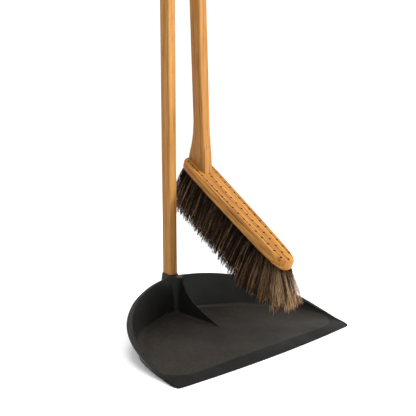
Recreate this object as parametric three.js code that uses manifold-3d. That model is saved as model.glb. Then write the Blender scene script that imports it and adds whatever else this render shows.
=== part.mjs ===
// A long-handled dustpan with its upright brush.
// The pan is one thin moulded shell: a flat floor with two rounded bays, a rim that climbs from the
// front lip to the back, and a socket that holds a flat wooden handle. The brush hangs beside that
// handle with its head nose-down over the right-hand bay: a tapered wooden block, three rows of
// horsehair tufts drawn in from above with wire, and a flat wooden handle screwed on from below.
//
// Units are millimetres. +Z is up, the open front of the pan faces -Y and X runs along its edge.
// The origin is on the ground, at the middle of the whole set.

import * as THREE from 'three';
import { mergeVertices } from 'three/addons/utils/BufferGeometryUtils.js';
import Module from 'manifold-3d';

const wasm = await Module();
wasm.setup();

const GAP = 0.3; // clearance left between pieces that touch
const deg = THREE.MathUtils.degToRad;
const { lerp } = THREE.MathUtils;

// ---- driving dimensions -------------------------------------------------------------------
const FRONT_TO_ORIGIN = 109.85; // the pan's front line lies this far in front of the origin

const PAN = {
  floor: 3, // thickness of the floor
  wall: 2.6, // thickness of the standing wall
  rampDepth: 18, // front strip that slopes down to the edge
  top: 60, // any height above the rim, where the bay cutters end
};

// Rim seen from above, right-hand half, from the front corner round to the back.
const RIM_PLAN = [[131.9, 9], [132.6, 22], [133.3, 42], [130.2, 76], [118, 107], [93, 134.5],
  [62, 155], [31, 169.5], [0, 178]];
const FRONT_CORNER = [[131, 3.4], [127.3, -1.2]];
const FRONT_EDGE = [[108, -2.8], [80, -4.6], [40, -6.1], [0, -6.7]];

// [distance behind the front line, value] tables
const RIM_HEIGHT = [[-20, 2.4], [12, 3], [25, 5.5], [47, 11], [78, 20], [107, 30], [135, 40], [150, 45],
  [165, 48.5], [182, 50]];
const RIM_WIDTH = [[10, 2], [40, 4], [75, 5.5], [105, 6.5], [140, 4.5], [180, 3.6]];
const LIP_DEPTH = [[12, 1.8], [40, 2.2], [80, 3], [120, 4], [180, 4.5]]; // of the turned-out rim
const FILLET = [[10, 2.5], [45, 8], [100, 12], [130, 8], [152, 4.5]];
const WALL_LEAN = [[10, 12], [110, 9], [152, 4.5]];
const RIDGE = { radius: 4.5, lean: 0.08 }; // fillet and lean of the ridge's flanks
const RIDGE_FOOT = [[84, 0], [87, 2], [93, 3.7], [103, 4.6], [120, 5], [141, 5.7],
  [154, 6.5], [158, 7.2]];
const BAY_CORNER = { radius: 3.5, back: 162.5 }; // where a bay turns forward beside the socket

const PAN_HANDLE = { wide: 12, deep: 18, corner: 2.4, axis: 188, foot: 6, top: 850 };
const SOCKET = { wall: 2, top: 50, floor: 5.7 };
const PAN_SCREW = { height: 30, shank: 1.7, head: 3.5, length: 14, headHigh: 2.2 };

const BRUSH = {
  at: [40.8, 151.7, 177.1], // first hole of the middle row, on the block's top face
  tilt: 27.8, // the nose points down
  turn: -6.65, // and a little to the left
  roll: -2.33,
};
const BLOCK = {
  thick: 13,
  edge: 3.5, // rounding of the long edges
};
// [distance forward of the first middle hole, half width of the block]
const BLOCK_PLAN = [[-52, 7], [-50.5, 11.5], [-46, 15.6], [-38, 17.8], [-20, 18.2], [20, 17.6], [75, 16.2],
  [130, 14.3], [150, 13.2], [161, 11.6], [169, 8.6], [173, 4.6], [174, 2.2]];

const HOLES = { pitch: 12.01, pin: 0.8, bore: 2.5, boreDepth: 8.5, wire: 0.45, groove: 0.75 };
// the three rows of holes: how many, where the first one is, and which side of the middle it is on
const ROWS = [
  { name: 'left', count: 18, first: -3.37, side: -1 },
  { name: 'middle', count: 15, first: 0, side: 0 },
  { name: 'right', count: 17, first: -2.75, side: 1 },
];
const ROW_OFFSET = [[-48, 13.2], [0, 11.9], [168, 7]]; // outer rows close in towards the nose

const TUFT = { neck: 2.1, splay: 11, sides: 8 };
// [distance forward of the first middle hole, how far the tips stand off the block, how far they lean
// forward]: the last tufts fan out under the nose and are trimmed shorter
const TUFT_STAND = [[80, 56], [110, 57], [130, 54], [150, 46], [168, 33]];
const TUFT_LEAN = [[95, 0], [125, 5], [150, 14], [168, 27]];

const BRUSH_HANDLE = {
  wide: 13, deep: 22, corner: 2.6, top: 848, // height of its top end above the ground
  foot: -23.6, // where its axis meets the block
  lean: [-0.0368, -0.0041], // sideways and fore-and-aft per unit of height
  flareBack: 14.5, flareFront: 2.5,
};
// [height above the foot, share of the flare]
const FOOT_FLARE = [[-25, 1.1], [13, 1], [20, 0.79], [31, 0.4], [44, 0.16], [58, 0]];
const BRUSH_SCREW = { shank: 1.7, head: 3.6, length: 30, headHigh: 2.4, at: [-41, -24] };

// ---- helpers ------------------------------------------------------------------------------
function table(rows, at) {
  if (at <= rows[0][0]) return rows[0][1];
  for (let i = 1; i < rows.length; i++) {
    const [a, va] = rows[i - 1];
    const [b, vb] = rows[i];
    if (at <= b) return lerp(va, vb, (at - a) / (b - a));
  }
  return rows[rows.length - 1][1];
}

function geometryOf(points, triangles) {
  const geometry = new THREE.BufferGeometry();
  geometry.setAttribute('position', new THREE.Float32BufferAttribute(points.flat(), 3));
  geometry.setIndex(triangles.flat());
  return geometry;
}

// Signed volume of an indexed surface, used to turn its faces outwards.
function volumeOf(points, triangles) {
  let sum = 0;
  for (const [a, b, c] of triangles) {
    const [p, q, r] = [points[a], points[b], points[c]];
    sum += p[0] * (q[1] * r[2] - q[2] * r[1]) - p[1] * (q[0] * r[2] - q[2] * r[0])
      + p[2] * (q[0] * r[1] - q[1] * r[0]);
  }
  return sum / 6;
}

// A closed body through rings of equal length, each a list of [x, y, z]. flat() gives the two
// coordinates in which the end rings are triangulated.
function loft(rings, flat = (p) => [p[0], p[1]]) {
  const n = rings[0].length;
  const points = rings.flat();
  const triangles = [];
  for (let k = 0; k + 1 < rings.length; k++) {
    for (let i = 0; i < n; i++) {
      const a = k * n + i;
      const b = k * n + (i + 1) % n;
      triangles.push([a, b, b + n], [a, b + n, a + n]);
    }
  }
  // an end cap runs with its ring at the far end and against it at the near end
  const cap = (ring, base, way) => {
    const contour = ring.map((p) => new THREE.Vector2(...flat(p)));
    const spin = Math.sign(THREE.ShapeUtils.area(contour)) * way;
    for (const [a, b, c] of THREE.ShapeUtils.triangulateShape(contour, [])) {
      const turn = Math.sign(THREE.ShapeUtils.area([contour[a], contour[b], contour[c]]));
      triangles.push(turn === spin ? [base + a, base + b, base + c] : [base + a, base + c, base + b]);
    }
  };
  cap(rings[0], 0, -1);
  cap(rings[rings.length - 1], (rings.length - 1) * n, 1);
  const sides = volumeOf(points, triangles);
  return geometryOf(points, sides < 0 ? triangles.map(([a, b, c]) => [a, c, b]) : triangles);
}

function solid(geometry) {
  const bare = geometry.clone();
  for (const name of Object.keys(bare.attributes)) {
    if (name !== 'position') bare.deleteAttribute(name);
  }
  const merged = mergeVertices(bare, 1e-4);
  return new wasm.Manifold(new wasm.Mesh({
    numProp: 3,
    vertProperties: new Float32Array(merged.attributes.position.array),
    triVerts: new Uint32Array(merged.index.array),
  }));
}

function geometryFrom(manifold) {
  const mesh = manifold.getMesh();
  const geometry = new THREE.BufferGeometry();
  geometry.setAttribute('position', new THREE.Float32BufferAttribute(mesh.vertProperties, 3));
  geometry.setIndex(Array.from(mesh.triVerts));
  return geometry;
}

// A prism along X whose section is a polygon of [y, z].
function prismX(section, halfLength) {
  const ring = (x) => section.map(([y, z]) => [x, y, z]);
  return solid(loft([ring(-halfLength), ring(halfLength)], (p) => [p[1], p[2]]));
}

// A rounded rectangle of [x, y] about the origin, counter-clockwise.
function roundedRect(halfX, halfY, radius, steps = 3) {
  const ring = [];
  const corners = [[1, 1, 0], [-1, 1, 90], [-1, -1, 180], [1, -1, 270]];
  for (const [sx, sy, start] of corners) {
    for (let i = 0; i <= steps; i++) {
      const angle = deg(start + (90 * i) / steps);
      ring.push([sx * (halfX - radius) + radius * Math.cos(angle),
        sy * (halfY - radius) + radius * Math.sin(angle)]);
    }
  }
  return ring;
}

// A turned body from [radius, height] pairs that start and end on the axis.
function turned(profile, segments) {
  const lathe = new THREE.LatheGeometry(profile.map(([r, h]) => new THREE.Vector2(r, h)), segments);
  lathe.rotateX(Math.PI / 2); // the axis is now Z
  for (const name of ['normal', 'uv']) lathe.deleteAttribute(name);
  const merged = mergeVertices(lathe, 1e-4);
  return geometryFrom(solid(dropSlivers(merged)));
}

function dropSlivers(geometry) {
  const kept = [];
  const index = geometry.index.array;
  for (let i = 0; i < index.length; i += 3) {
    const [a, b, c] = [index[i], index[i + 1], index[i + 2]];
    if (a !== b && b !== c && c !== a) kept.push([a, b, c]);
  }
  const points = [];
  const position = geometry.attributes.position;
  for (let i = 0; i < position.count; i++) points.push([position.getX(i), position.getY(i), position.getZ(i)]);
  return geometryOf(points, volumeOf(points, kept) < 0 ? kept.map(([a, b, c]) => [a, c, b]) : kept);
}

// ---- materials ----------------------------------------------------------------------------
const material = (color, roughness, metalness = 0) => (
  new THREE.MeshStandardMaterial({ color, roughness, metalness }));
const BLACK_PLASTIC = material(0x2e2b29, 0.5);
const BEECH = material(0xc08b52, 0.5);
const BEECH_BLOCK = material(0xc98f4e, 0.5);
const STEEL = material(0x9a9a98, 0.35, 1);
const HORSEHAIR = material(0x2c1e15, 0.8);

function piece(name, geometry, look, parent) {
  const mesh = new THREE.Mesh(geometry, look);
  mesh.name = name;
  parent.add(mesh);
  return mesh;
}

// ---- the pan ------------------------------------------------------------------------------
const SIDE_STEPS = 30;
const sideCurve = new THREE.SplineCurve(RIM_PLAN.map(([x, y]) => new THREE.Vector2(x, y)));

// Stations round the right-hand rim: the point, its inward normal and the section there.
const stations = [];
for (let i = 0; i <= SIDE_STEPS; i++) {
  const t = i / SIDE_STEPS;
  const at = sideCurve.getPointAt(t);
  const along = sideCurve.getTangentAt(t);
  const inward = i === SIDE_STEPS ? [0, -1] : [-along.y, along.x];
  const radius = table(FILLET, at.y);
  const lean = Math.tan(deg(table(WALL_LEAN, at.y)));
  const rise = table(RIM_HEIGHT, at.y) - PAN.floor;
  const run = table(RIM_WIDTH, at.y) + bayRun(rise, radius, lean);
  stations.push({ at: [at.x, at.y], inward, radius, lean, run });
}

// How far the bay wall has moved outwards at a height above the floor.
function bayRun(rise, radius, lean) {
  const bend = Math.PI / 2 - Math.atan(lean);
  const bendRise = radius * (1 - Math.cos(bend));
  if (rise >= bendRise) return radius * Math.sin(bend) + (rise - bendRise) * lean;
  return Math.sqrt(Math.max(0, radius ** 2 - (radius - Math.max(rise, 0)) ** 2));
}

const floorPoint = (s, extra = 0) => [s.at[0] + s.inward[0] * (s.run - extra),
  s.at[1] + s.inward[1] * (s.run - extra)];

// One bay, as the solid that hollows it out: its floor outline with an outward direction, the
// fillet radius and the lean of the wall at each point.
function bayCutter() {
  const outline = [];
  const side = stations.filter((s) => s.at[1] > 12 && floorPoint(s)[0] > 20);
  outline.push({ p: [131, -60], out: [1, 0], radius: 2.5, lean: 0.2 });
  outline.push({ p: [130, 0], out: [1, 0], radius: 2.5, lean: 0.2 });
  for (const s of side) {
    outline.push({ p: floorPoint(s), out: [-s.inward[0], -s.inward[1]], radius: s.radius, lean: s.lean });
  }
  // the bay turns forward again beside the socket, along the foot of the ridge
  const [ridgeY, ridgeX] = RIDGE_FOOT[RIDGE_FOOT.length - 1];
  for (const turn of [85, 115, 145, 170]) {
    const out = [Math.cos(deg(turn)), Math.sin(deg(turn))];
    outline.push({
      p: [ridgeX + BAY_CORNER.radius * (1 + out[0]), BAY_CORNER.back - BAY_CORNER.radius * (1 - out[1])],
      out,
      ...RIDGE,
    });
  }
  for (const [y, x] of RIDGE_FOOT.slice().reverse()) {
    outline.push({ p: [x, y], out: y > 93 ? [-1, 0] : [-0.92, 0.38], ...RIDGE });
  }
  outline.push({ p: [-6, 79], out: [-0.6, 0.8], ...RIDGE });
  outline.push({ p: [-40, 60], out: [-0.6, 0.8], ...RIDGE });
  outline.push({ p: [-60, -60], out: [-1, 0], ...RIDGE });

  const bends = [0, 22, 44, 64, 999];
  const ringAt = (bend) => outline.map(({ p, out, radius, lean }) => {
    const full = Math.PI / 2 - Math.atan(lean);
    const angle = Math.min(deg(bend), full);
    const up = radius * (1 - Math.cos(angle));
    const away = radius * Math.sin(angle);
    return [p[0] + out[0] * away, p[1] + out[1] * away, PAN.floor + up];
  });
  const rings = bends.map(ringAt);
  rings.push(outline.map(({ p, out, radius, lean }) => {
    const away = bayRun(PAN.top - PAN.floor, radius, lean);
    return [p[0] + out[0] * away, p[1] + out[1] * away, PAN.top];
  }));
  return loft(rings);
}

function mirrorX(geometry) {
  const copy = geometry.clone();
  copy.scale(-1, 1, 1);
  const index = copy.index.array;
  for (let i = 0; i < index.length; i += 3) [index[i], index[i + 1]] = [index[i + 1], index[i]];
  return copy;
}

// The right-hand half of a closed plan, front centre to back centre, and its mirror image.
function wholePlan(half) {
  const left = half.slice(1, -1).reverse().map(([x, y]) => [-x, y]);
  return [...half, ...left];
}

function panBody() {
  const front = FRONT_EDGE.slice().reverse();
  const corner = FRONT_CORNER.slice().reverse();
  const rimHalf = [...front, ...corner, ...stations.map((s) => s.at)];
  const rim = wholePlan(rimHalf);

  // the standing wall, from the ground to above the rim
  const wallRing = (z, away) => wholePlan([...front, ...corner.map(([x, y]) => [x - 3, y + 0.5]),
    ...stations.map((s) => floorPoint(s, Math.min(away(s), s.run - GAP)))]).map(([x, y]) => [x, y, z]);
  const wall = solid(loft([
    wallRing(0, (s) => 0.75 * s.radius + 1),
    wallRing(PAN.floor + 2, (s) => bayRun(2, s.radius, s.lean) + 1.9),
    wallRing(PAN.floor + 8, (s) => bayRun(8, s.radius, s.lean) + PAN.wall),
    wallRing(PAN.top, (s) => bayRun(PAN.top - PAN.floor, s.radius, s.lean) + PAN.wall),
  ]));
  const heights = RIM_HEIGHT.map(([y, z]) => [y, z]);
  const under = prismX([[-20, -1], ...heights, [240, 50], [240, -1]], 200);
  const band = prismX([...heights, ...heights.slice().reverse().map(([y, z]) => (
    [y, Math.max(0, z - table(LIP_DEPTH, y))]))], 200);
  const lip = solid(loft([rim.map(([x, y]) => [x, y, 0]), rim.map(([x, y]) => [x, y, PAN.top])]));

  // the socket column behind the back of the rim
  const socketRing = (grow, z) => roundedRect(PAN_HANDLE.wide / 2 + grow, PAN_HANDLE.deep / 2 + grow,
    PAN_HANDLE.corner + grow).map(([x, y]) => [x, y + PAN_HANDLE.axis, z]);
  const outside = GAP + SOCKET.wall;
  const column = solid(loft([socketRing(outside + 0.8, 0), socketRing(outside, SOCKET.top)]));
  const web = solid(loft([0, 49].map((z) => (
    [[-12, 160], [12, 160], [9, 182], [-9, 182]].map(([x, y]) => [x, y, z])))));
  const pocket = solid(loft([socketRing(GAP, SOCKET.floor), socketRing(GAP, PAN.top + 5)]));

  const bay = bayCutter();
  const ramp = prismX([[PAN.rampDepth - 7, PAN.floor], [-30, PAN.floor - 37 * 0.122], [-30, 30],
    [PAN.rampDepth - 7, 30]], 200);
  const screwHole = solid(turned([[0, -20], [PAN_SCREW.shank + GAP, -20], [PAN_SCREW.shank + GAP, 20], [0, 20]], 12)
    .rotateX(Math.PI / 2).translate(0, PAN_HANDLE.axis + 20, PAN_SCREW.height));

  const shell = wall.intersect(under).add(lip.intersect(band)).add(web)
    .subtract(solid(bay)).subtract(solid(mirrorX(bay))).subtract(ramp)
    .add(column)
    .subtract(pocket)
    .subtract(screwHole);
  return geometryFrom(shell);
}

// ---- wooden bars --------------------------------------------------------------------------
function panHandle() {
  const half = [PAN_HANDLE.wide / 2, PAN_HANDLE.deep / 2];
  const ringAt = (z, inset) => roundedRect(half[0] - inset, half[1] - inset, PAN_HANDLE.corner - inset * 0.4)
    .map(([x, y]) => [x, y, z]);
  const bar = solid(loft([ringAt(PAN_HANDLE.foot, 0), ringAt(PAN_HANDLE.top - 3, 0),
    ringAt(PAN_HANDLE.top - 0.9, 0.8), ringAt(PAN_HANDLE.top, 2.6)]));
  const hole = solid(turned([[0, -1], [PAN_SCREW.shank + GAP, -1],
    [PAN_SCREW.shank + GAP, PAN_SCREW.length - 1], [0, PAN_SCREW.length]], 12)
    .rotateX(Math.PI / 2).translate(0, half[1], PAN_SCREW.height));
  return geometryFrom(bar.subtract(hole));
}

function screw({ shank, head, length, headHigh }) {
  return turned([[0, -length], [shank * 0.6, -length + 3], [shank, -length + 6], [shank, 0],
    [head, 0], [head, headHigh * 0.4], [head * 0.6, headHigh], [0, headHigh]], 12);
}

// ---- the brush ----------------------------------------------------------------------------
// In the brush's own frame +Y points back along the block, X is to the right, Z is the top face.
const holesOf = (row) => Array.from({ length: row.count }, (_, k) => {
  const along = (row.first + k) * HOLES.pitch;
  return { along, x: row.side * table(ROW_OFFSET, along), y: -along };
});

function blockSection(halfWidth, y) {
  const r = Math.min(BLOCK.edge, halfWidth * 0.6);
  const centre = BLOCK.thick / 2;
  return roundedRect(halfWidth, centre, r).map(([x, z]) => [x, y, z - centre]);
}

function brushBlock() {
  let block = solid(loft(BLOCK_PLAN.map(([along, half]) => blockSection(half, -along)), (p) => [p[0], p[2]]));
  const bore = turned([[0, -1], [HOLES.bore, -1], [HOLES.bore, HOLES.boreDepth],
    [HOLES.pin, HOLES.boreDepth + 1], [HOLES.pin, BLOCK.thick + 1], [0, BLOCK.thick + 1]], 8);
  for (const row of ROWS) {
    const holes = holesOf(row);
    for (const { x, y } of holes) {
      block = block.subtract(solid(bore.clone().translate(x, y, -BLOCK.thick)));
    }
    const [a, b] = [holes[0], holes[holes.length - 1]];
    block = block.subtract(solid(wireAlong([a.x, a.y, 0], [b.x, b.y, 0], HOLES.groove, 1.5)));
  }
  for (const along of BRUSH_SCREW.at) {
    const clear = turned([[0, -1], [BRUSH_SCREW.head + GAP, -1], [BRUSH_SCREW.head + GAP, 3],
      [BRUSH_SCREW.shank + GAP, 3], [BRUSH_SCREW.shank + GAP, BLOCK.thick + 1], [0, BLOCK.thick + 1]], 12);
    block = block.subtract(solid(clear.translate(0, -along, -BLOCK.thick)));
  }
  return geometryFrom(block);
}

// A straight wire between two points.
function wireAlong(from, to, radius, extra = 0) {
  const a = new THREE.Vector3(...from);
  const b = new THREE.Vector3(...to);
  const along = b.clone().sub(a).normalize();
  const length = a.distanceTo(b) + 2 * extra;
  const rod = turned([[0, 0], [radius, 0], [radius, length], [0, length]], 8);
  const turn = new THREE.Quaternion().setFromUnitVectors(new THREE.Vector3(0, 0, 1), along);
  rod.applyQuaternion(turn);
  const start = a.addScaledVector(along, -extra);
  return rod.translate(start.x, start.y, start.z);
}

// A tuft: a round neck in its bore, spreading to its share of the brush's sweep.
function tuft(hole, row) {
  const offset = table(ROW_OFFSET, hole.along);
  const reach = offset + TUFT.splay;
  const third = reach / 3;
  const centre = row.side * third * 2 - hole.x;
  const halfX = third - 0.25;
  const halfY = HOLES.pitch / 2 - 0.2;
  const ringAt = (z, share, shiftX, shiftY) => {
    const rx = lerp(TUFT.neck, halfX, share);
    const ry = lerp(TUFT.neck, halfY, share);
    return Array.from({ length: TUFT.sides }, (_, i) => {
      const angle = deg((360 * (i + 0.5)) / TUFT.sides);
      const square = 1 + share * 0.06;
      return [shiftX + rx * square * Math.cos(angle), shiftY + ry * square * Math.sin(angle), z];
    });
  };
  const stand = table(TUFT_STAND, hole.along);
  const ahead = table(TUFT_LEAN, hole.along);
  return loft([
    ringAt(-BLOCK.thick + HOLES.boreDepth - 1, 0, 0, 0),
    ringAt(-BLOCK.thick - 0.5, 0, 0, 0),
    ringAt(-BLOCK.thick - 0.4 * stand, 0.62, centre * 0.42, -ahead * 0.4),
    ringAt(-BLOCK.thick - stand, 0.98, centre, -ahead),
  ]);
}

// The handle stands on the block's sloping top face, so it is built upright in the pan's frame
// about its own foot and its lower end is cut on the slope.
function brushHandle(group) {
  const foot = new THREE.Vector3(0, -BRUSH_HANDLE.foot, 0).applyMatrix4(group.matrix);
  const height = BRUSH_HANDLE.top - foot.z;
  const ringAt = (up, inset) => {
    const flare = table(FOOT_FLARE, up);
    const back = BRUSH_HANDLE.flareBack * flare;
    const ahead = BRUSH_HANDLE.flareFront * flare;
    return roundedRect(BRUSH_HANDLE.wide / 2 - inset, BRUSH_HANDLE.deep / 2 - inset,
      BRUSH_HANDLE.corner - inset * 0.4, 4).map(([x, y]) => [
      x + BRUSH_HANDLE.lean[0] * up,
      y + (y > 0 ? back : -ahead) + BRUSH_HANDLE.lean[1] * up, up]);
  };
  const rings = FOOT_FLARE.map(([up]) => ringAt(up, 0));
  rings.push(ringAt(height - 3, 0), ringAt(height - 0.9, 0.8), ringAt(height, 2.6));
  const turn = new THREE.Matrix4().makeRotationZ(deg(BRUSH.turn));
  const bar = loft(rings).applyMatrix4(turn).translate(foot.x, foot.y, foot.z);
  bar.applyMatrix4(group.matrix.clone().invert());
  const below = loft([-80, GAP].map((z) => [[-60, -90], [60, -90], [60, 130], [-60, 130]]
    .map(([x, y]) => [x, y, z])));
  let cut = solid(bar).subtract(solid(below));
  for (const along of BRUSH_SCREW.at) {
    const hole = turned([[0, -30], [BRUSH_SCREW.shank + GAP, -30],
      [BRUSH_SCREW.shank + GAP, BRUSH_SCREW.length - BLOCK.thick + 1],
      [0, BRUSH_SCREW.length - BLOCK.thick + 3]], 12);
    cut = cut.subtract(solid(hole.translate(0, -along, 0)));
  }
  return geometryFrom(cut);
}

// ---- assembly -----------------------------------------------------------------------------
const set = new THREE.Group();

const pan = new THREE.Group();
pan.position.y = -FRONT_TO_ORIGIN;
set.add(pan);
piece('pan_body', panBody(), BLACK_PLASTIC, pan);
piece('pan_handle', panHandle(), BEECH, pan).position.y = PAN_HANDLE.axis;
const panScrew = piece('pan_handle_screw', screw(PAN_SCREW), STEEL, pan);
panScrew.rotation.x = -Math.PI / 2;
panScrew.position.set(0, PAN_HANDLE.axis + PAN_HANDLE.deep / 2 + GAP + SOCKET.wall + 0.8 + GAP, PAN_SCREW.height);

const brush = new THREE.Group();
brush.position.set(BRUSH.at[0], BRUSH.at[1] - FRONT_TO_ORIGIN, BRUSH.at[2]);
brush.rotation.set(deg(BRUSH.tilt), deg(BRUSH.roll), deg(BRUSH.turn), 'ZXY');
brush.updateMatrix();
set.add(brush);
piece('brush_block', brushBlock(), BEECH_BLOCK, brush);
piece('brush_handle', brushHandle(brush), BEECH, brush);
BRUSH_SCREW.at.forEach((along, i) => {
  const fixing = piece(`brush_screw_${i + 1}`, screw(BRUSH_SCREW), STEEL, brush);
  fixing.rotation.x = Math.PI; // driven in from below
  fixing.position.set(0, -along, -BLOCK.thick + 3 - GAP);
});
for (const row of ROWS) {
  const holes = holesOf(row);
  const [a, b] = [holes[0], holes[holes.length - 1]];
  piece(`draw_wire_${row.name}`, wireAlong([a.x, a.y, -0.28], [b.x, b.y, -0.28], HOLES.wire), STEEL, brush);
  holes.forEach((hole, k) => {
    const mesh = piece(`tuft_${row.name}_${String(k + 1).padStart(2, '0')}`, tuft(hole, row), HORSEHAIR, brush);
    mesh.position.set(hole.x, hole.y, 0);
  });
}

export default set;
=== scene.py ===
"""Looks for the long-handled dustpan and brush: a black moulded pan, beech wood and horsehair tufts."""

import math
import random

import bmesh
import bpy
import numpy as np
from mathutils import Matrix, Vector


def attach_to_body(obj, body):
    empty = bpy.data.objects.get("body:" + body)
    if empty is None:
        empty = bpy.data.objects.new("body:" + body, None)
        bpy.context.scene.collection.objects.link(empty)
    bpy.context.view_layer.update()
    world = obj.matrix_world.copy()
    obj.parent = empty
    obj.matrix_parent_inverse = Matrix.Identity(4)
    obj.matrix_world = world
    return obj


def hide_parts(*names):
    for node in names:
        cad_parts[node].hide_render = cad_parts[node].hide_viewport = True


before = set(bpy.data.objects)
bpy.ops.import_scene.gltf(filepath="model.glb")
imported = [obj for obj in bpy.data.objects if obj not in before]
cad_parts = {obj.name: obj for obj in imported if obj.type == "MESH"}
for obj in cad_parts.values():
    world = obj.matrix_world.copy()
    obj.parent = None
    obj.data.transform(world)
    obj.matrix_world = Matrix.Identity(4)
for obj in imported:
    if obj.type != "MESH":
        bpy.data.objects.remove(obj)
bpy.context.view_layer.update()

MM = 0.001
FRONT_TO_ORIGIN = 109.85  # the pan's front line lies this far in front of the origin, mm
ORIGIN = Matrix.Translation((0, -FRONT_TO_ORIGIN * MM, 0))

# ---- camera and light -----------------------------------------------------------------------
CAMERA_AT = (-0.42446, -0.50140, 0.23881)
CAMERA_FORWARD = (0.6389, 0.7561, -0.1416)
CAMERA_LENS = 48.46  # mm
CAMERA_SENSOR = 36  # mm wide
SKY = 1.1  # strength of the even white light all round

scene = bpy.context.scene
scene.view_settings.view_transform = "Standard"


def aim(obj, place, forward):
    """Places a camera or light, facing forward, and links it."""
    obj.location = place
    obj.rotation_euler = Vector(forward).to_track_quat("-Z", "Y").to_euler()
    scene.collection.objects.link(obj)
    return obj


camera = bpy.data.objects.new("camera", bpy.data.cameras.new("camera"))
camera.data.lens = CAMERA_LENS
camera.data.sensor_width = CAMERA_SENSOR
camera.data.clip_start = 0.01
aim(camera, CAMERA_AT, CAMERA_FORWARD)
scene.camera = camera


def area_light(name, place, target, size, power):
    data = bpy.data.lights.new(name, "AREA")
    data.size = size
    data.energy = power
    return aim(bpy.data.objects.new(name, data), place, Vector(target) - Vector(place))


area_light("key", place=(1.15, -1.5, 1.2), target=(0, 0, 0.25), size=0.6, power=67)
area_light("top", place=(0.1, 0.3, 1.9), target=(0, 0, 0.1), size=0.8, power=14)

world = bpy.data.worlds.new("studio")
scene.world = world
world.use_nodes = True
world.node_tree.nodes["Background"].inputs["Color"].default_value = (1, 1, 1, 1)
world.node_tree.nodes["Background"].inputs["Strength"].default_value = SKY


# ---- materials ------------------------------------------------------------------------------
class Nodes:
    """A small helper round one material's node tree."""

    def __init__(self, name, **values):
        self.material = bpy.data.materials.new(name)
        self.material.use_nodes = True
        self.tree = self.material.node_tree
        self.shader = self.tree.nodes["Principled BSDF"]
        for key, value in values.items():
            self.shader.inputs[key.replace("_", " ")].default_value = value
        self.coords = self.tree.nodes.new("ShaderNodeTexCoord")

    def link(self, source, target):
        self.tree.links.new(source, target)

    def stretched(self, scale):
        """The object's coordinates, scaled by a number for each axis."""
        node = self.tree.nodes.new("ShaderNodeMapping")
        node.inputs["Scale"].default_value = scale
        self.link(self.coords.outputs["Object"], node.inputs["Vector"])
        return node.outputs["Vector"]

    def noise(self, scale, detail=3, rough=0.55, vector=None, distort=0.0):
        node = self.tree.nodes.new("ShaderNodeTexNoise")
        node.inputs["Scale"].default_value = scale
        node.inputs["Detail"].default_value = detail
        node.inputs["Roughness"].default_value = rough
        node.inputs["Distortion"].default_value = distort
        self.link(vector or self.coords.outputs["Object"], node.inputs["Vector"])
        return node.outputs["Fac"]

    def ramp(self, source, *stops):
        """A colour ramp of (place, colour) stops."""
        node = self.tree.nodes.new("ShaderNodeValToRGB")
        elements = node.color_ramp.elements
        while len(elements) < len(stops):
            elements.new(0.5)
        for element, (place, colour) in zip(elements, stops):
            element.position = place
            element.color = (*colour, 1)
        self.link(source, node.inputs["Fac"])
        return node.outputs["Color"]

    def span(self, source, low, high, start=0.0, end=1.0):
        """Maps start to end on to low to high, and clamps there."""
        node = self.tree.nodes.new("ShaderNodeMapRange")
        for key, value in (("From Min", start), ("From Max", end), ("To Min", low), ("To Max", high)):
            node.inputs[key].default_value = value
        self.link(source, node.inputs["Value"])
        return node.outputs["Result"]

    def math(self, operation, a, b):
        node = self.tree.nodes.new("ShaderNodeMath")
        node.operation = operation
        for socket, value in zip(node.inputs, (a, b)):
            if isinstance(value, (int, float)):
                socket.default_value = value
            else:
                self.link(value, socket)
        return node.outputs["Value"]

    def mix(self, factor, a, b, blend="MIX"):
        node = self.tree.nodes.new("ShaderNodeMix")
        node.data_type = "RGBA"
        node.blend_type = blend
        for key, value in (("Factor", factor), ("A", a), ("B", b)):
            socket = node.inputs[key]
            if isinstance(value, (int, float)):
                socket.default_value = value
            elif isinstance(value, tuple):
                socket.default_value = (*value, 1)
            else:
                self.link(value, socket)
        return node.outputs["Result"]

    def separate(self, vector):
        node = self.tree.nodes.new("ShaderNodeSeparateXYZ")
        self.link(vector, node.inputs["Vector"])
        return node.outputs

    def bump(self, *layers):
        """Stacks (height, distance, strength) layers of relief on the shader."""
        normal = None
        for height, distance, strength in layers:
            node = self.tree.nodes.new("ShaderNodeBump")
            node.inputs["Distance"].default_value = distance
            node.inputs["Strength"].default_value = strength
            self.link(height, node.inputs["Height"])
            if normal:
                self.link(normal, node.inputs["Normal"])
            normal = node.outputs["Normal"]
        self.link(normal, self.shader.inputs["Normal"])

    def finish(self, colour, roughness=None):
        self.link(colour, self.shader.inputs["Base Color"])
        if roughness:
            self.link(roughness, self.shader.inputs["Roughness"])
        return self.material


BANDS, PORES, FLECKS = 26, 260, 520  # noise scales of the wood: broad bands, fine lines, short flecks


def long_way(grain, factor):
    """The grain's scale on each axis, with the small number, along the wood, times factor."""
    return tuple(g if g > 0.5 else g * factor for g in grain)


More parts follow.
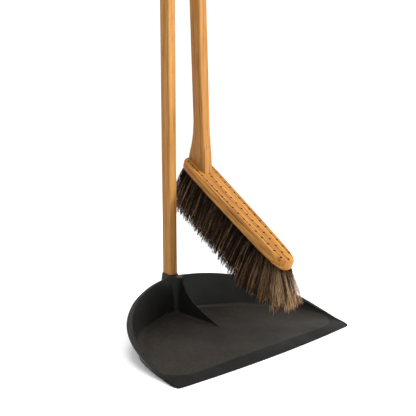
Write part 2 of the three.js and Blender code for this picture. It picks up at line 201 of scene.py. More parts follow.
def wood(name, light, dark, grain, growth, figure):
    """Oiled beech. grain is the noise's scale on each axis, with a small number along the wood. growth
    is the scale of the growth lines, and figure is how strongly they and the pores show."""
    m = Nodes(name, Roughness=0.5, Specular_IOR_Level=0.13)
    across = m.stretched(grain)
    # the figure fades on end grain
    end = m.math("ABSOLUTE", m.separate(m.coords.outputs["Normal"])[grain.index(min(grain))], 0)
    shown = m.span(end, 1, 0.25, 0.4, 0.85)
    drawn = m.math("MULTIPLY", shown, figure)
    bands = m.noise(BANDS, 4, 0.6, across, 0.6)
    fine = m.noise(PORES, 3, 0.65, across)
    flecks = m.noise(FLECKS, 2, 0.5, m.stretched(long_way(grain, 1.8)))
    lines = m.noise(growth, 2, 0.6, m.stretched(long_way(grain, 0.3)), 0.1)
    colour = m.ramp(bands, (0.3, dark), (0.7, light))
    streak = m.ramp(fine, (0.3, (0.58, 0.48, 0.38)), (0.56, (1.1, 1.1, 1.1)))
    colour = m.mix(drawn, colour, streak, "MULTIPLY")
    ring = m.ramp(lines, (0.4, (0.46, 0.34, 0.24)), (0.5, (1.06, 1.06, 1.06)))
    colour = m.mix(drawn, colour, ring, "MULTIPLY")
    fleck = m.ramp(flecks, (0.28, (0.62, 0.5, 0.42)), (0.38, (1, 1, 1)))
    colour = m.mix(m.math("MULTIPLY", shown, 0.7), colour, fleck, "MULTIPLY")
    m.bump((fine, 0.00025, 0.35), (flecks, 0.0002, 0.3))
    return m.finish(colour, m.span(fine, 0.62, 0.5, 0.3, 0.7))


ALONG_Z = (1, 1, 0.05)
ALONG_Y = (1, 0.05, 1)
beech = wood("beech", (0.34, 0.167, 0.043), (0.28, 0.124, 0.028), ALONG_Z, 500, 0.5)
beech_block = wood("beech_block", (0.37, 0.174, 0.036), (0.28, 0.12, 0.023), ALONG_Y, 450, 0.9)


# the smooth strip along the pan's front, in metres from its front line: straight in the middle, and
# turning back beside the walls past x = turn by bend times the square of the way
STRIP = {"back": 0.011, "turn": 0.1, "bend": 24, "blur": 0.0006}
WALL_BAND = (0.0035, 0.01)  # height over which the floor's finish gives way to the wall's, m


def plastic():
    """Black moulding: a finely grained floor, a smoother front strip and walls round it."""
    m = Nodes("black_plastic", Roughness=0.45, Specular_IOR_Level=0.13)
    x, y, z = m.separate(m.coords.outputs["Object"])
    grain = m.noise(480, 4, 0.8)
    soft = m.noise(60, 3, 0.5)
    cloud = m.noise(20, 2, 0.5)
    wall = m.span(z, 0, 1, *WALL_BAND)
    side = m.math("MAXIMUM", m.math("SUBTRACT", m.math("ABSOLUTE", x, 0), STRIP["turn"]), 0)
    line = m.math("ADD", m.math("MULTIPLY", m.math("MULTIPLY", side, side), STRIP["bend"]), STRIP["back"])
    floor = m.span(m.math("SUBTRACT", y, line), 0, 1, -STRIP["blur"], STRIP["blur"])
    floor = m.math("MULTIPLY", floor, m.math("SUBTRACT", 1, wall))
    # only faces that look up have the floor's grain
    facing = m.separate(m.coords.outputs["Normal"])[2]
    floor = m.math("MULTIPLY", floor, m.span(facing, 0, 1, 0.2, 0.6))
    m.bump((m.math("MULTIPLY", grain, floor), 0.00022, 0.7), (soft, 0.0008, 0.12), (cloud, 0.008, 0.2))
    matte = m.ramp(grain, (0.36, (0.008, 0.0062, 0.0044)), (0.64, (0.0228, 0.0186, 0.0142)))
    strip = m.ramp(soft, (0.3, (0.003, 0.0028, 0.0024)), (0.7, (0.0052, 0.0048, 0.0042)))
    upright = m.ramp(soft, (0.3, (0.008, 0.0078, 0.0072)), (0.7, (0.0105, 0.0101, 0.0094)))
    sleek = m.mix(wall, strip, upright)
    # roughness: cloudy everywhere, more on the floor's grain and on the strip
    rough = m.math("ADD", m.math("MULTIPLY", floor, m.span(grain, 0.16, 0.28, 0.3, 0.7)),
                   m.span(cloud, 0.26, 0.5, 0.35, 0.65))
    rough = m.math("ADD", rough, m.span(m.math("MAXIMUM", wall, floor), 0.25, 0))
    return m.finish(m.mix(floor, sleek, matte), rough)


def steel(name, tint, rough):
    """Drawn metal with fine marks along Z."""
    m = Nodes(name, Metallic=1, Roughness=rough)
    brushed = m.noise(900, 3, 0.6, m.stretched((1, 1, 0.2)))
    m.bump((brushed, 0.00005, 0.3))
    colour = m.ramp(brushed, (0.3, tuple(0.8 * c for c in tint)), (0.7, tint))
    return m.finish(colour, m.span(brushed, rough - 0.08, rough + 0.1))


def horsehair():
    """Dark hair. In a hair's map, U is how pale it is and V runs from its root to its tip."""
    m = Nodes("horsehair", Roughness=0.42, Specular_IOR_Level=0.08)
    parts = m.separate(m.coords.outputs["UV"])
    tone = m.ramp(parts["X"], (0.0, (0.010, 0.0044, 0.0019)), (0.4, (0.032, 0.0142, 0.0062)),
                  (0.62, (0.12, 0.062, 0.029)), (1.0, (0.56, 0.38, 0.215)))
    fade = m.noise(70, 3, 0.6)
    # painted shade: each hair darkens towards its root, where the hairs crowd under the block; towards its
    # tip it pales, as the hair's own colour
    root_shade_and_tips = m.ramp(parts["Y"], (0.0, (0.3, 0.26, 0.23)), (0.5, (0.95, 0.92, 0.9)), (1.0, (1.3, 1.2, 1.1)))
    colour = m.mix(1.0, tone, root_shade_and_tips, "MULTIPLY")
    colour = m.mix(m.span(fade, 0.0, 0.35, 0.45, 0.75), colour, (0.05, 0.03, 0.018))
    return m.finish(colour, m.span(fade, 0.32, 0.5))


# painted shade for the walls and bottoms of the holes in the block: the same wood, made nearly black
painted_bore_shade = wood("bore_painted_shade", (0.02, 0.007, 0.004), (0.012, 0.005, 0.003), ALONG_Z, 500, 0.5)
black_plastic = plastic()
screw_steel = steel("steel", (0.6, 0.6, 0.59), 0.34)
wire_metal = steel("wire", (0.075, 0.035, 0.018), 0.5)
hair = horsehair()


# ---- mesh helpers ---------------------------------------------------------------------------
def table(rows, at):
    """The value at a place in a table of (place, value) rows, along straight lines."""
    return float(np.interp(at, [r[0] for r in rows], [r[1] for r in rows]))


def soft(rows, at, reach=7.0):
    """The table's value with its corners rounded off."""
    return sum(table(rows, at + reach * k / 4) for k in range(-4, 5)) / 9


def spline(points, count):
    """count points evenly along a smooth curve through the given ones."""
    p = [np.array(q, float) for q in points]
    fine = []
    for i in range(len(p) - 1):
        a, b, c, d = p[max(i - 1, 0)], p[i], p[i + 1], p[min(i + 2, len(p) - 1)]
        for t in np.linspace(0, 1, 40, endpoint=False):
            v0, v1 = (c - a) / 2, (d - b) / 2
            cubic = 2 * b - 2 * c + v0 + v1
            square = 3 * c - 3 * b - 2 * v0 - v1
            fine.append(cubic * t ** 3 + square * t ** 2 + v0 * t + b)
    fine.append(p[-1])
    fine = np.array(fine)
    run = np.concatenate([[0], np.cumsum(np.linalg.norm(np.diff(fine, axis=0), axis=1))])
    even = np.linspace(0, run[-1], count)
    return [np.array([np.interp(s, run, fine[:, k]) for k in range(fine.shape[1])]) for s in even]


def normals_of(points):
    """Unit normals of an open plane curve, to its left."""
    p = np.array(points)
    along = np.gradient(p, axis=0)
    along /= np.linalg.norm(along, axis=1)[:, None]
    return [np.array([-t[1], t[0]]) for t in along]


def bend(a, corner, b, steps):
    """Points of a rounded corner from a to b."""
    a, corner, b = (np.array(q, float) for q in (a, corner, b))
    places = np.linspace(0, 1, steps)
    return [tuple((1 - t) ** 2 * a + 2 * t * (1 - t) * corner + t * t * b) for t in places]


def between(a, b):
    """Four even steps from a to b, without a itself."""
    a, b = np.array(a), np.array(b)
    return [tuple(a + (b - a) * t) for t in (0.25, 0.5, 0.75, 1)]


def rounded_rect(half_x, half_y, radius, steps=8):
    """A ring of points round a rectangle with round corners."""
    ring = []
    for sx, sy, start in ((1, 1, 0), (-1, 1, 90), (-1, -1, 180), (1, -1, 270)):
        for i in range(steps + 1):
            angle = math.radians(start + 90 * i / steps)
            ring.append((sx * (half_x - radius) + radius * math.cos(angle),
                         sy * (half_y - radius) + radius * math.sin(angle)))
    return ring


def loft(bm, rings):
    """Joins rings of equal length into a tube and closes its ends."""
    made = [[bm.verts.new(p) for p in ring] for ring in rings]
    n = len(made[0])
    for low, high in zip(made, made[1:]):
        for i in range(n):
            bm.faces.new((low[i], low[(i + 1) % n], high[(i + 1) % n], high[i]))
    bm.faces.new(made[0][::-1])
    bm.faces.new(made[-1])


def tidy(bm, merge=0.01):
    """Merges points that coincide and turns all the faces outwards."""
    bmesh.ops.remove_doubles(bm, verts=bm.verts, dist=merge)
    bmesh.ops.dissolve_degenerate(bm, dist=merge / 5, edges=bm.edges)
    bmesh.ops.recalc_face_normals(bm, faces=bm.faces)


def to_object(bm, name, material, matrix=ORIGIN, sharp=35):
    """A named object from a mesh made in millimetres."""
    bmesh.ops.scale(bm, vec=(MM, MM, MM), verts=bm.verts)
    mesh = bpy.data.meshes.new(name)
    bm.to_mesh(mesh)
    bm.free()
    mesh.materials.append(material)
    mesh.shade_smooth()
    if sharp:
        mesh.set_sharp_from_angle(angle=math.radians(sharp))
    obj = bpy.data.objects.new(name, mesh)
    scene.collection.objects.link(obj)
    obj.matrix_world = matrix
    return obj


def attach(obj, body, slot, *nodes):
    """Makes a piece ride a body and hides the CAD nodes that it stands for. slot is not used."""
    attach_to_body(obj, body)
    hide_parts(*nodes)


# ---- the pan --------------------------------------------------------------------------------
FLOOR = 3.0
WALL = 2.6
EDGE = 1.0  # rounding of the rim
RAMP = {"back": 11.0, "slope": 0.122}  # front strip that slopes down to the edge
FRONT_EDGE = {"share": 0.4, "most": 0.35}  # its rounding: a share of its height, and the most in mm
# one half of the rim's outline, (x, y) from the middle of the front to the middle of the back
PLAN = [(0, -6.7), (40, -6.1), (80, -4.6), (108, -2.8), (127.3, -1.2), (131, 3.4), (131.9, 9), (132.6, 22),
        (133.3, 42), (130.2, 76), (118, 107), (93, 134.5), (62, 155), (31, 169.5), (0, 178)]
PLAN_POINTS = 190
CORNER_X = 100  # past this x, the wall starts where the outline reaches the back of the ramp
BACK_X = 20  # nearer the middle than this x the rim runs on behind the ridge
# the tables below give (y, value): millimetres, degrees for WALL_LEAN and a share for SKIRT
RIM_HEIGHT = [(-20, 2.4), (12, 3), (25, 5.5), (47, 11), (78, 20), (107, 30), (135, 40), (150, 45),
              (165, 48.5), (182, 50)]
RIM_WIDTH = [(10, 2), (40, 4), (75, 5.5), (105, 6.5), (140, 4.5), (180, 3.6)]
LIP_DEPTH = [(12, 1.8), (40, 2.2), (80, 3), (120, 4), (180, 4.5)]  # of the turned-out rim
SKIRT = [(45, 0), (60, 0.2), (90, 0.8), (105, 1)]  # 0 straight from rim to foot, 1 a wall under a lip
SKIRT_FOOT = 2  # height at which the outside turns under
WALL_STEPS = [(11, 2.6), (8, 2.3), (5, 1.9)]  # (height, thickness) down the outside of the wall
FLAT_FLOOR = {"half": 129.5, "points": 30}  # the line where the ramp meets the flat floor
FILLET = [(10, 2.5), (45, 8), (100, 12), (130, 8), (152, 4.5)]
WALL_LEAN = [(10, 12), (110, 9), (152, 4.5)]
RIDGE_FOOT = [(84, 0), (87, 2), (93, 3.7), (103, 4.6), (120, 5), (141, 5.7), (154, 6.5), (158, 7.2)]
RIDGE_RISE = [(84, 0), (87, 0.6), (93, 2.2), (103, 5.6), (120, 10.6), (141, 19.3), (154, 29.3), (158, 38.1)]
RIDGE = {"radius": 4.5, "lean": 0.08}
RIDGE_CAP = {"most": 1.2, "share": 0.3, "inset": 0.4}  # the rounding of its crest
BAY_CORNER = {"radius": 3.5, "back": 162.5}
RIDGE_ROWS = [(158, 92, 34), (90, 84, 7)]  # (from y, to y, count) of the columns along the ridge


def bay_run(rise, radius, lean):
    """How far the bay wall has moved outwards at a height above the floor."""
    full = math.pi / 2 - math.atan(lean)
    lift = radius * (1 - math.cos(full))
    if rise >= lift:
        return radius * math.sin(full) + (rise - lift) * lean
    return math.sqrt(max(0.0, radius ** 2 - (radius - max(rise, 0)) ** 2))


def wall_profile(rise, radius, lean):
    """(outwards, up) from the floor's edge to the flat top of the rim."""
    edge = min(EDGE, rise * 0.4)
    stand = rise - edge
    full = math.pi / 2 - math.atan(lean)
    last = min(full, math.acos(max(-1.0, 1 - stand / radius))) if radius > 0 else 0
    points = [(radius * math.sin(a), radius * (1 - math.cos(a))) for a in np.linspace(0, last, 10)]
    end = (bay_run(stand, radius, lean), stand)
    points += between(points[-1], end)
    top = bay_run(rise, radius, lean)
    return points + bend(end, (top, rise), (top + edge, rise), 5)[1:]


def ridge_profile(run, rise):
    """(outwards, up) from the floor's edge to the rounded crest between the bays."""
    least = RIDGE_CAP["share"] * run
    cap = min(RIDGE_CAP["most"], least)
    foot = np.array((max(run - cap - RIDGE["lean"] * rise, least), 0.0))
    crown = np.array((run - cap * RIDGE_CAP["inset"], rise))
    flank = crown - foot
    length = np.linalg.norm(flank) + 1e-9
    low = foot + flank / length * min(foot[0], 0.5 * length)
    high = crown - flank / length * min(1.4, 0.35 * length)
    points = bend((0, 0), foot, low, 10)
    points += between(low, high)
    return points + bend(high, crown, (run, rise), 5)[1:]


class Station:
    """A place on the rim's outline, the way inwards from it, and the section of the wall there."""

    def __init__(self, at, inward):
        self.at = at
        self.inward = inward
        self.radius = soft(FILLET, at[1])
        self.lean = math.tan(math.radians(soft(WALL_LEAN, at[1])))
        self.top = max(soft(RIM_HEIGHT, at[1]), FLOOR)
        self.rise = self.top - FLOOR
        self.run = table(RIM_WIDTH, at[1]) + bay_run(self.rise, self.radius, self.lean)

    def inside(self, distance):
        return self.at + self.inward * distance


def ramp_height(y):
    """The height of the floor's top near the front."""
    return min(FLOOR, FLOOR - (RAMP["back"] - y) * RAMP["slope"])


def outer_profile(s):
    """(inwards from the rim, up) from the rim's top, over its edge and down the outside."""
    under = max(0.0, s.top - table(LIP_DEPTH, s.at[1]))
    edge = min(EDGE, 0.45 * (s.top - under))
    points = bend((edge, s.top), (0, s.top), (0, s.top - edge), 5)
    points += bend((0, under + edge), (0, under), (edge, under), 4)
    # a straight skirt near the front, turning into a wall under an overhanging lip
    lip = table(SKIRT, s.at[1])
    foot = 0.9 * s.radius + 1.2
    foot += lip * (min(foot, bay_run(2, s.radius, s.lean) + 2) - foot)
    for height, thick in [(under, WALL)] + WALL_STEPS:
        away = bay_run(height - FLOOR, s.radius, s.lean) + thick
        up = min(height, under)
        straight = foot + (s.run - foot) * max(0.0, up - SKIRT_FOOT) / max(under - SKIRT_FOOT, 0.1)
        points.append((max(edge, s.run - straight - (away - straight) * lip), up))
    for away, up in ((foot, SKIRT_FOOT), (foot - 0.15 * s.radius - 0.2, 0)):
        points.append((max(edge, s.run - away), min(up, under)))
    return points


def behind_bay(last_foot, last_out):
    """(foot, direction) round the bay's back corner, from the rim's wall to the ridge."""
    corner = np.array((RIDGE_FOOT[-1][1] + BAY_CORNER["radius"], BAY_CORNER["back"]))
    places = []
    for t in (0.25, 0.5, 0.75):
        out = last_out * (1 - t) + np.array((0.0, 1.0)) * t
        places.append((last_foot * (1 - t) + corner * t, out / np.linalg.norm(out)))
    for degrees in range(90, 176, 8):
        angle = math.radians(degrees)
        out = np.array((math.cos(angle), math.sin(angle)))
        places.append((corner + BAY_CORNER["radius"] * np.array((out[0], out[1] - 1)), out))
    return places


def inner_columns(shared):
    """(foot, direction, profile) of each column up the inside, from the front corner round to the
    ridge's front tip, and the number of the first one that ends on the ridge's crest."""
    radius, lean = RIDGE["radius"], RIDGE["lean"]
    columns = [(s.inside(s.run), -s.inward, wall_profile(s.rise, s.radius, s.lean)) for s in shared]
    lift = radius * (1 - math.cos(math.pi / 2 - math.atan(lean)))
    crest = None
    for foot, out in behind_bay(columns[-1][0], columns[-1][1]):
        rise = table(RIM_HEIGHT, foot[1] + 6) - FLOOR
        reach = foot[0] / -out[0] if out[0] < -1e-6 else math.inf
        if reach > bay_run(rise, radius, lean) + EDGE:
            columns.append((foot, out, wall_profile(rise, radius, lean)))
            continue
        # the mirror plane cuts this column off below the rim
        clipped = lift + (reach - bay_run(lift, radius, lean)) / lean
        crest = crest or len(columns)
        columns.append((foot, out, ridge_profile(reach, min(rise, clipped))))
    for y in np.concatenate([np.linspace(*row) for row in RIDGE_ROWS]):
        foot = table(RIDGE_FOOT, y)
        columns.append((np.array((foot, y)), np.array((-1.0, 0.0)),
                        ridge_profile(foot, soft(RIDGE_RISE, y, 2))))
    return columns, crest


def front_profile(y):
    """(inwards, up) over the front edge, with as many points as an outer profile."""
    top = ramp_height(y)
    edge = min(FRONT_EDGE["most"], FRONT_EDGE["share"] * top)
    profile = bend((edge, top), (0, top), (0, top - edge), 5) + bend((0, edge), (0, 0), (edge, 0), 4)
    return profile + [(edge, 0)] * 6


def half_pan(bm):
    """The right-hand half of the shell, up to the plane between the bays."""
    plan = spline(PLAN, PLAN_POINTS)
    inwards = normals_of(plan)
    inwards[-1] = np.array((0.0, -1.0))
    split = next(i for i, p in enumerate(plan) if p[0] > CORNER_X and p[1] >= RAMP["back"])
    front = plan[:split]
    stations = [Station(p, n) for p, n in zip(plan[split:], inwards[split:])]
    shared = [s for s in stations if s.inside(s.run)[0] > BACK_X]

    # inside of the walls and the flank of the ridge
    columns, crest = inner_columns(shared)
    grid = []
    for foot, out, profile in columns:
        column = []
        for away, up in profile:
            p = foot + out * away
            column.append(bm.verts.new((max(p[0], 0.0), p[1], FLOOR + up)))
        grid.append(column)
    for left, right in zip(grid, grid[1:]):
        for j in range(len(left) - 1):
            bm.faces.new((left[j], right[j], right[j + 1], left[j + 1]))

    # outside, from the middle of the front edge round to the middle of the back
    rim = []
    for p, n in zip(front, inwards):
        rim.append([bm.verts.new((*(p + n * away), up)) for away, up in front_profile(p[1])])
    for s in stations:
        column = []
        for away, up in outer_profile(s):
            p = s.inside(away)
            column.append(bm.verts.new((max(p[0], 0.0), p[1], up)))
        rim.append(column)
    for left, right in zip(rim, rim[1:]):
        for j in range(len(left) - 1):
            bm.faces.new((left[j], left[j + 1], right[j + 1], right[j]))
    bm.faces.new([column[-1] for column in rim])

    # the rim's flat top beside the bay, then the wider top behind it
    outer = rim[len(front):]
    for k in range(len(shared) - 1):
        bm.faces.new((outer[k][0], outer[k + 1][0], grid[k + 1][-1], grid[k][-1]))
    last = len(shared) - 1
    bm.faces.new([column[0] for column in outer[last:]] + [grid[i][-1] for i in range(crest, last - 1, -1)])

    # floor: the ramp in front and the flat behind it
    across = np.linspace(0, FLAT_FLOOR["half"], FLAT_FLOOR["points"])
    back_line = [bm.verts.new((x, RAMP["back"], FLOOR)) for x in across]
    bm.faces.new([column[0] for column in rim[:len(front)]] + back_line[::-1])
    bm.faces.new(back_line + [rim[len(front) - 1][0], outer[0][0]] + [column[0] for column in grid])


pan = bmesh.new()
half_pan(pan)
tidy(pan)
mirrored = pan.copy()
bmesh.ops.scale(mirrored, vec=(-1, 1, 1), verts=mirrored.verts)
other_half = bpy.data.meshes.new("other_half")
mirrored.to_mesh(other_half)
mirrored.free()
pan.from_mesh(other_half)
bpy.data.meshes.remove(other_half)
tidy(pan)

# ---- socket for the pan's handle --------------------------------------------------------------
PAN_HANDLE = {"wide": 12, "deep": 18, "corner": 2.4, "axis": 188, "foot": 6, "top": 850}
LEAST_CORNER = 0.6
CORNER_LOSS = 0.4  # share of an inset that comes off a handle's corner radius


def handle_ring(grow, z, inset=0.0):
    """The section of the pan's handle, grown for the socket or inset for its top."""
    radius = max(PAN_HANDLE["corner"] + grow - inset * CORNER_LOSS, LEAST_CORNER)
    ring = rounded_rect(PAN_HANDLE["wide"] / 2 + grow - inset,
                        PAN_HANDLE["deep"] / 2 + grow - inset, radius)
    return [(x, y + PAN_HANDLE["axis"], z) for x, y in ring]


# (out from the handle, up), up the outside of the socket, over its rim and down the inside
SOCKET = [(3.1, 0), (3.05, 4), (2.9, 30), (2.7, 40), (2.1, 44), (1.6, 47), (1.4, 49), (1.3, 49.6),
          (1.1, 50), (0.8, 50), (0.5, 49.8), (0.3, 49.3), (0.3, 30), (0.3, 5.7)]
loft(pan, [handle_ring(grow, z) for grow, z in SOCKET])
bmesh.ops.recalc_face_normals(pan, faces=pan.faces)
attach(to_object(pan, "pan_shell", black_plastic), "pan", "black_plastic", "pan_body")

# ---- wooden handles -------------------------------------------------------------------------
ROUND_TOP = ((3, 0.12), (1.6, 0.6), (0.7, 1.3), (0.15, 2.2), (0, 3.2))  # (below the top, inset)
TOP_ROOM = 5  # the straight part ends this far below the top

bar = bmesh.new()
levels = [(z, 0.0) for z in np.linspace(PAN_HANDLE["foot"], PAN_HANDLE["top"] - TOP_ROOM, 40)]
levels += [(PAN_HANDLE["top"] - down, inset) for down, inset in ROUND_TOP]
loft(bar, [handle_ring(0, z, inset) for z, inset in levels])
bmesh.ops.recalc_face_normals(bar, faces=bar.faces)
attach(to_object(bar, "pan_stick", beech), "pan", "beech", "pan_handle")

BRUSH = {"at": (40.8, 151.7, 177.1), "tilt": 27.8, "turn": -6.65, "roll": -2.33}
turn, tilt, roll = (math.radians(BRUSH[k]) for k in ("turn", "tilt", "roll"))
brush_frame = (ORIGIN @ Matrix.Translation(Vector(BRUSH["at"]) * MM) @ Matrix.Rotation(turn, 4, "Z")
               @ Matrix.Rotation(tilt, 4, "X") @ Matrix.Rotation(roll, 4, "Y"))

BRUSH_HANDLE = {"wide": 13, "deep": 22, "corner": 2.6, "top": 848, "foot": -23.6,
                "lean": (-0.0368, -0.0041), "back": 14.5, "front": 2.5}
FOOT_GAP = 0.15  # from the block's top to the cut end of the foot
# (up, share): how much of its full stretch the foot still has
FOOT_FLARE = [(-25, 1.1), (13, 1), (20, 0.79), (31, 0.4), (44, 0.16), (58, 0)]
foot_place = brush_frame @ Vector((0, -BRUSH_HANDLE["foot"] * MM, 0))
foot_frame = Matrix.Translation(foot_place) @ Matrix.Rotation(turn, 4, "Z")


def stick_ring(up, inset):
    """The section of the brush's handle, with its foot stretched backwards and a little forwards."""
    flare = soft(FOOT_FLARE, up, 5)
    ring = rounded_rect(BRUSH_HANDLE["wide"] / 2 - inset, BRUSH_HANDLE["deep"] / 2 - inset,
                        max(BRUSH_HANDLE["corner"] - inset * CORNER_LOSS, LEAST_CORNER))
    back, ahead = BRUSH_HANDLE["back"] * flare, -BRUSH_HANDLE["front"] * flare
    lean_x, lean_y = BRUSH_HANDLE["lean"]
    return [(x + lean_x * up, y + (back if y > 0 else ahead) + lean_y * up, up) for x, y in ring]


height = BRUSH_HANDLE["top"] - foot_place.z / MM
flared, straight = np.linspace(-25, 62, 60), np.linspace(70, height - TOP_ROOM, 30)
levels = [(up, 0.0) for up in np.concatenate([flared, straight])]
levels += [(height - down, inset) for down, inset in ROUND_TOP]
stick = bmesh.new()
loft(stick, [stick_ring(up, inset) for up, inset in levels])
# the foot is cut off along the block's sloping top
slope = (foot_frame.inverted() @ brush_frame).to_3x3() @ Vector((0, 0, 1))
cut = bmesh.ops.bisect_plane(stick, geom=stick.verts[:] + stick.edges[:] + stick.faces[:],
                             plane_co=slope * FOOT_GAP, plane_no=slope, clear_inner=True)
cut_edges = [e for e in cut["geom_cut"] if isinstance(e, bmesh.types.BMEdge)]
bmesh.ops.holes_fill(stick, edges=cut_edges, sides=0)
bmesh.ops.recalc_face_normals(stick, faces=stick.faces)
attach(to_object(stick, "brush_stick", beech, foot_frame), "brush", "beech", "brush_handle")

# ---- the brush's block ----------------------------------------------------------------------
THICK = 13.0
BLOCK_EDGE = 3.5
# (along towards the nose, half width)
BLOCK_PLAN = [(-52, 0), (-52, 7), (-50.5, 11.5), (-46, 15.6), (-38, 17.8), (-20, 18.2), (20, 17.6),
              (75, 16.2), (130, 14.3), (150, 13.2), (161, 11.6), (169, 8.6), (173, 4.6), (174, 0)]
PITCH = 12.01  # from one hole to the next
ROWS = [("left", 18, -3.37, -1), ("middle", 15, 0, 0), ("right", 17, -2.75, 1)]  # holes, first, side
ROW_OFFSET = [(-48, 13.2), (0, 11.9), (168, 7)]  # (along, from the middle line to a side row)
PIN, GROOVE, WIRE = 1.35, 0.34, 0.24  # radii of the holes, the grooves between them and the wire
PIN_DEPTH = 6
PIN_BAND = (-6.5, -0.45)  # heights between which the wall of a hole is given painted shade
CUT_OVER = 1  # a cutter stands this far out of the wood
GROOVE_END = 1.5  # a groove runs this far past the end holes
SCREWS = (-41, -24)
SCREW_HOLE = {"radius": 3.9, "depth": 3, "sides": 24}


def holes_of(count, first, side):
    """(along, x, y) of each hole in a row."""
    for k in range(count):
        along = (first + k) * PITCH
        yield along, side * table(ROW_OFFSET, along), -along


half = spline(BLOCK_PLAN, 110)
outward = normals_of(half)
outward[0], outward[-1] = np.array((-1.0, 0.0)), np.array((1.0, 0.0))
outline = [((w, -a), (n[1], -n[0])) for (a, w), n in zip(half, outward)]
outline += [((-p[0], p[1]), (-n[0], n[1])) for p, n in outline[-2:0:-1]]
block = bmesh.new()
rings = []
for degrees in np.linspace(0, 180, 15):
    angle = math.radians(degrees)
    sink = BLOCK_EDGE * (1 - math.sin(angle))
    if degrees <= 90:
        z = -THICK + BLOCK_EDGE * (1 - math.cos(angle))
    else:
        z = -BLOCK_EDGE * (1 + math.cos(angle))
    rings.append([(p[0] - n[0] * sink, p[1] - n[1] * sink, z) for p, n in outline])
loft(block, rings)
tidy(block, 0.02)
wood_block = to_object(block, "brush_head", beech_block, brush_frame)


def rod(bm, start, end, radius, sides=14):
    """A round bar from start to end, to cut with."""
    start, end = Vector(start), Vector(end)
    across = (end - start).to_track_quat("Z", "Y")
    angles = np.linspace(0, 2 * math.pi, sides, endpoint=False)
    circle = [across @ Vector((radius * math.cos(a), radius * math.sin(a), 0)) for a in angles]
    loft(bm, [[place + point for point in circle] for place in (start, end)])


def carve(obj, bm):
    """Cuts the closed shapes in bm out of obj."""
    bmesh.ops.recalc_face_normals(bm, faces=bm.faces)
    cutter = to_object(bm, "cutter", beech_block, brush_frame, 0)
    carving = obj.modifiers.new("carve", "BOOLEAN")
    carving.operation = "DIFFERENCE"
    carving.solver = "EXACT"
    carving.object = cutter
    bpy.context.view_layer.update()
    carved = bpy.data.meshes.new_from_object(obj.evaluated_get(bpy.context.evaluated_depsgraph_get()))
    obj.modifiers.clear()
    obj.data = carved
    bpy.data.objects.remove(cutter)


pins = bmesh.new()
pin_places = [(x, y) for _, count, first, side in ROWS for _, x, y in holes_of(count, first, side)]
for x, y in pin_places:
    rod(pins, (x, y, -PIN_DEPTH), (x, y, CUT_OVER), PIN)
for along in SCREWS:
    rod(pins, (0, -along, -THICK - CUT_OVER), (0, -along, -THICK + SCREW_HOLE["depth"]),
        SCREW_HOLE["radius"], SCREW_HOLE["sides"])
carve(wood_block, pins)
grooves = bmesh.new()
for _, count, first, side in ROWS:
    (_, start_x, start_y), *_, (_, end_x, end_y) = holes_of(count, first, side)
    rod(grooves, (start_x, start_y + GROOVE_END, 0), (end_x, end_y - GROOVE_END, 0), GROOVE)
carve(wood_block, grooves)


def in_pin(place):
    """Whether a point of the block lies on the wall or the bottom of a hole."""
    if not PIN_BAND[0] * MM < place.z < PIN_BAND[1] * MM:
        return False
    return any(math.hypot(place.x / MM - x, place.y / MM - y) < PIN + 0.05 for x, y in pin_places)


# the walls and bottoms of the holes take the nearly black wood, as painted shade
wood_block.data.materials.append(painted_bore_shade)
for face in wood_block.data.polygons:
    if in_pin(face.center):
        face.material_index = 1
wood_block.data.shade_smooth()
wood_block.data.set_sharp_from_angle(angle=math.radians(32))
attach(wood_block, "brush", "beech_block", "brush_block")

# (along, up) of the wire's route where it dips into a hole and comes out again
WIRE_DIP = ((1.9, -0.28), (1.0, -0.9), (0, -3.5), (-1.0, -0.9), (-1.9, -0.28))

for name, count, first, side in ROWS:
    curve = bpy.data.curves.new(f"draw_{name}", "CURVE")
    curve.dimensions = "3D"
    curve.bevel_depth = WIRE * MM
    curve.bevel_resolution = 3
    route = [(x, y + shift, up) for _, x, y in holes_of(count, first, side) for shift, up in WIRE_DIP]
    line = curve.splines.new("POLY")
    line.points.add(len(route) - 1)
    for point, place in zip(line.points, route):
        point.co = (*(c * MM for c in place), 1)
    wire = bpy.data.objects.new(f"draw_{name}", curve)
    scene.collection.objects.link(wire)
    curve.materials.append(wire_metal)
    wire.matrix_world = brush_frame
    attach(wire, "brush", "wire", f"draw_wire_{name}")

# ---- horsehair ------------------------------------------------------------------------------
WISPS = 47  # locks in each tuft
STRANDS = 7  # hairs in each lock
RINGS = 6  # of three points along each hair
GOLDEN_TURN = 2.39996  # radians from one lock to the next, which spreads them evenly
THIRD_TURN = 2.0944  # radians from one corner of a hair's section to the next
NECK = 4.2  # radius of a tuft where it leaves its bore
SPLAY = 11  # how far the hair of a side row spreads past the row's offset
TUFT_STAND = [(80, 56), (110, 57), (130, 55), (150, 48), (168, 37)]  # (along, length)
TUFT_LEAN = [(95, 0), (125, 5), (150, 15), (168, 29)]  # (along, how far the tips lean ahead)
PALE = [(60, 0.0), (110, 0.04), (140, 0.28), (168, 0.62)]  # (along, how pale the hair may be)
NOSE = {"from": 125, "run": 43}  # the tufts along this run fan out more and more towards the nose
ROOT = 1  # how deep in the block a hair starts
FULL_SPREAD = 3.4  # the power that sets how soon a hair has moved over to its tip's place
TAPER = 0.4  # share of a hair's thickness lost at its tip
FARTHEST = -1.6  # how far ahead of its tuft a tip may be, in half pitches
TUCKED = -1.3  # a lock is shorter as its tip lies ahead of its tuft, up to this place
SEED = 11


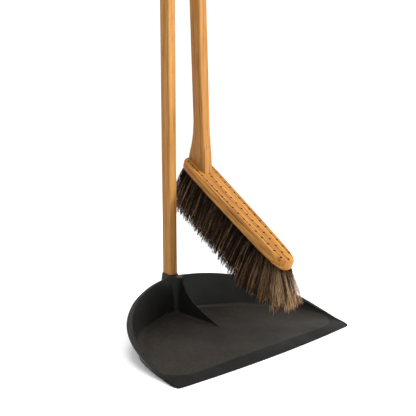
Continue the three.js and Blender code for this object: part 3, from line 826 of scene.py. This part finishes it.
def lock_of(index, along, nose, rng):
    """One lock: where it starts and ends in its tuft, its length, how pale it is and how it bows."""
    angle = GOLDEN_TURN * index + rng.uniform(-0.4, 0.4)
    far = math.sqrt((index + rng.random()) / WISPS)
    start = (far * math.cos(angle), far * math.sin(angle))
    tip = (start[0] * 1.1 + rng.gauss(0, 0.13), start[1] * (1.25 + 0.2 * nose) + rng.gauss(0, 0.2))
    length = rng.gauss(1.0, 0.035) - 0.02 * far * far + 0.42 * nose * max(TUCKED, min(0.0, tip[1]))
    pale = rng.betavariate(1.3, 3.4) * 0.7 + table(PALE, along) * rng.random()
    bow = (rng.gauss(0, 1.1), rng.gauss(0, 1.1), rng.uniform(1.0, 2.6), rng.uniform(0, 6.28))
    return start, tip, length, pale, bow


def hair_of(lock, stand, nose, rng):
    """One hair of a lock, with its own start, tip, length, wave, paleness and thickness."""
    lock_start, lock_tip, lock_length, lock_pale, bow = lock
    start = (lock_start[0] + rng.gauss(0, 0.14), lock_start[1] + rng.gauss(0, 0.14))
    stray = rng.random() < 0.07 + 0.1 * nose
    loose = 2.2 if stray else 1.0 + nose
    tip_u = lock_tip[0] + rng.gauss(0, 0.1) * loose
    tip_v = max(FARTHEST, lock_tip[1] + rng.gauss(0, 0.13) * loose)
    length = stand * lock_length * rng.gauss(1.0, 0.02 + 0.03 * nose)
    sway = (bow[0] + rng.gauss(0, 0.45), bow[1] + rng.gauss(0, 0.45))
    phase = bow[3] + rng.gauss(0, 0.4)
    if stray:
        pale = rng.uniform(0.65, 0.99)
        thick = rng.uniform(0.17, 0.23)
    else:
        pale = min(0.99, max(0.01, lock_pale + rng.gauss(0, 0.08 + 0.2 * nose)))
        thick = rng.uniform(0.11, 0.17)
    return start, (tip_u, tip_v), length, sway, bow[2], phase, pale, thick


def strands(name, count, first, side, rng):
    """All the hairs of one row as three-sided tapered threads."""
    points, faces, maps = [], [], []
    for along, hole_x, hole_y in holes_of(count, first, side):
        third = (abs(table(ROW_OFFSET, along)) + SPLAY) / 3
        centre = side * third * 2 - hole_x
        stand = table(TUFT_STAND, along)
        ahead = table(TUFT_LEAN, along)
        nose = max(0.0, along - NOSE["from"]) / NOSE["run"]
        hairs = []
        for index in range(WISPS):
            lock = lock_of(index, along, nose, rng)
            hairs += [hair_of(lock, stand, nose, rng) for _ in range(STRANDS)]
        for start, tip, length, sway, pace, phase, pale, thick in hairs:
            base = len(points)
            for t in (j / (RINGS - 1) for j in range(RINGS)):
                share = 1 - (1 - t) ** FULL_SPREAD
                wobble = t * math.sin(pace * t * 3.0 + phase)
                x = hole_x + NECK * start[0] * (1 - share) + third * tip[0] * share
                x += centre * t * (0.9 + 0.1 * t)
                y = hole_y + NECK * start[1] * (1 - share) + PITCH / 2 * tip[1] * share - ahead * t
                x += sway[0] * wobble
                y += sway[1] * wobble
                z = -THICK + ROOT - (length + ROOT) * t
                radius = thick * (1 - TAPER * t)
                for k in range(3):
                    a = k * THIRD_TURN + phase
                    points.append((x + radius * math.cos(a), y + radius * math.sin(a), z))
                    maps.append((pale, t))
            for low in range(base, base + 3 * (RINGS - 1), 3):
                for k in range(3):
                    a, b = low + k, low + (k + 1) % 3
                    faces.append((a, b, b + 3, a + 3))
            end = base + 3 * (RINGS - 1)
            faces.append((end, end + 1, end + 2))
    mesh = bpy.data.meshes.new(name)
    # the turn goes into the mesh, so that the object's box is exact
    turned = np.array(points) * MM @ np.array(brush_frame.to_3x3()).T
    mesh.from_pydata(turned.tolist(), [], faces)
    layer = mesh.uv_layers.new(name="strand")
    corners = np.empty(len(mesh.loops), int)
    mesh.loops.foreach_get("vertex_index", corners)
    layer.data.foreach_set("uv", np.array(maps, np.float32)[corners].ravel())
    mesh.materials.append(hair)
    mesh.shade_smooth()
    obj = bpy.data.objects.new(name, mesh)
    scene.collection.objects.link(obj)
    obj.matrix_world = Matrix.Translation(brush_frame.translation)
    return obj


rng = random.Random(SEED)
for name, count, first, side in ROWS:
    tufts = [f"tuft_{name}_{k + 1:02d}" for k in range(count)]
    attach(strands(f"bristles_{name}", count, first, side, rng), "brush", "horsehair", *tufts)

# ---- screws, as the CAD has them ------------------------------------------------------------
for name in ("pan_handle_screw", "brush_screw_1", "brush_screw_2"):
    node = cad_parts[name]
    node.data.materials.clear()
    node.data.materials.append(screw_steel)

# ---- stage ----------------------------------------------------------------------------------
FLOOR_SIZE = 12000  # mm
FLOOR_DROP = 0.0004  # m below the pan's underside

ground = bmesh.new()
bmesh.ops.create_grid(ground, x_segments=1, y_segments=1, size=FLOOR_SIZE)
paper = Nodes("paper", Roughness=0.9)
paper_tone = paper.ramp(paper.noise(3), (0.3, (0.955, 0.955, 0.955)), (0.7, (0.975, 0.975, 0.975)))
floor = to_object(ground, "floor", paper.finish(paper_tone), Matrix.Translation((0, 0, -FLOOR_DROP)), 0)
